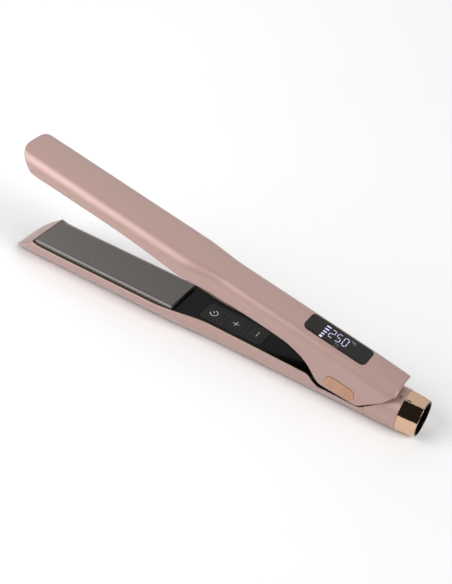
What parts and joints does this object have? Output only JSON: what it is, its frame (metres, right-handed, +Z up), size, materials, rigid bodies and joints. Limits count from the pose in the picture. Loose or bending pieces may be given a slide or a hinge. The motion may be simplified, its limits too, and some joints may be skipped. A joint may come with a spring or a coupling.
{
  "type": "flat iron",
  "caption": "Hair straightener: hinged slim arms with floating heated plates, inside buttons, a digital display, a twist lock ring and a swivel cord inlet",
  "frame": {"origin": "middle of the open iron's box in plan, on the surface that the lower arm rests on", "axes": "+X along the arms towards the cord end, +Y across, +Z up; the upper arm opens upwards"},
  "size_m": [0.3036, 0.035, 0.086],
  "materials": {
    "rose_paint": "satin metallic rose paint on moulded casings",
    "gloss_black": "high gloss",
    "matte_black": "fine matte, heat resistant",
    "soft_charcoal": "soft-touch matte",
    "steel": "plain turned or stamped steel",
    "clamp_aluminium": "mill finish",
    "circuit_board": "green solder mask",
    "plate_coating": "satin ceramic coating",
    "ceramic_white": "fired white ceramic",
    "red_silicone": "soft silicone",
    "lead_sleeve": "braided sleeve over silicone",
    "rose_gold_mirror": "mirror-polished rose gold plating",
    "rose_gold_satin": "satin rose gold",
    "smoked_window": "smoked, glossy"
  },
  "bodies": {
    "lower_arm": {"lower_shell": "rose_paint", "tail_housing": "rose_paint", "lower_inner_cover": "gloss_black", "lower_cover_screws": "steel", "control_panel": "soft_charcoal", "tact_switches": "steel", "control_board": "circuit_board", "board_components": "matte_black", "lower_carrier": "matte_black", "lower_cushions": "red_silicone", "lower_leads": "lead_sleeve", "supply_leads": "lead_sleeve", "hinge_housing": "matte_black", "housing_screws": "steel", "hinge_spring": "steel", "swivel_carrier": "matte_black"},
    "upper_arm": {"upper_shell": "rose_paint", "upper_inner_cover": "gloss_black", "upper_cover_screws": "steel", "upper_bracket": "steel", "hinge_pin": "steel", "lock_hook": "matte_black", "display_window": "smoked_window", "display_module": "matte_black", "display_board": "circuit_board", "near_hinge_cap": "rose_gold_satin", "far_hinge_cap": "rose_gold_satin", "upper_carrier": "matte_black", "upper_cushions": "red_silicone"},
    "lower_heating_plate": {"lower_plate": "plate_coating", "lower_heater": "ceramic_white", "lower_heater_clamp": "clamp_aluminium", "lower_temperature_sensor": "steel", "lower_thermal_fuse": "ceramic_white"},
    "upper_heating_plate": {"upper_plate": "plate_coating", "upper_heater": "ceramic_white", "upper_heater_clamp": "clamp_aluminium", "upper_temperature_sensor": "steel", "upper_thermal_fuse": "ceramic_white"},
    "power_button": {"power_button": "soft_charcoal"},
    "plus_button": {"plus_button": "soft_charcoal"},
    "minus_button": {"minus_button": "soft_charcoal"},
    "lock_ring": {"lock_ring": "rose_gold_mirror"},
    "lock_slider": {"lock_slider": "steel"},
    "cord_swivel": {"swivel_socket": "matte_black"}
  },
  "joints": [
    {"name": "arm_hinge", "type": "hinge", "parent": "lower_arm", "child": "upper_arm", "pos_m": [0.10083, 0, 0.018], "axis": [0, 1, 0], "range_deg": [-12.4, 0], "stiffness_Nm_per_rad": 1.1, "springref_deg": 20.05, "deforming": ["hinge_spring"]},
    {"name": "lower_plate_float", "type": "slide", "parent": "lower_arm", "child": "lower_heating_plate", "axis": [0, 0, -1], "range_m": [0, 0.001], "stiffness_N_per_m": 2500, "springref_m": -0.0006, "deforming": ["lower_cushions"]},
    {"name": "upper_plate_float", "type": "slide", "parent": "upper_arm", "child": "upper_heating_plate", "axis": [0.2147, 0, 0.9767], "range_m": [0, 0.001], "stiffness_N_per_m": 2500, "springref_m": -0.0006, "deforming": ["upper_cushions"]},
    {"name": "power_press", "type": "slide", "parent": "lower_arm", "child": "power_button", "axis": [0, 0, -1], "range_m": [0, 0.0004], "stiffness_N_per_m": 900, "springref_m": -0.0003},
    {"name": "plus_press", "type": "slide", "parent": "lower_arm", "child": "plus_button", "axis": [0, 0, -1], "range_m": [0, 0.0004], "stiffness_N_per_m": 900, "springref_m": -0.0003},
    {"name": "minus_press", "type": "slide", "parent": "lower_arm", "child": "minus_button", "axis": [0, 0, -1], "range_m": [0, 0.0004], "stiffness_N_per_m": 900, "springref_m": -0.0003},
    {"name": "lock_turn", "type": "hinge", "parent": "lower_arm", "child": "lock_ring", "pos_m": [0.13903, 0, 0.01315], "axis": [1, 0, 0], "range_deg": [0, 40]},
    {"name": "lock_slide", "type": "slide", "parent": "lower_arm", "child": "lock_slider", "axis": [-1, 0, 0], "range_m": [0, 0.003]},
    {"name": "cord_swivel", "type": "hinge", "parent": "lower_arm", "child": "cord_swivel", "pos_m": [0.14783, 0, 0.01315], "axis": [1, 0, 0], "continuous": true}
  ],
  "couplings": [
    {"joint": "lock_slide", "follows": "lock_turn", "m_per_rad": 0.0042972}
  ]
}
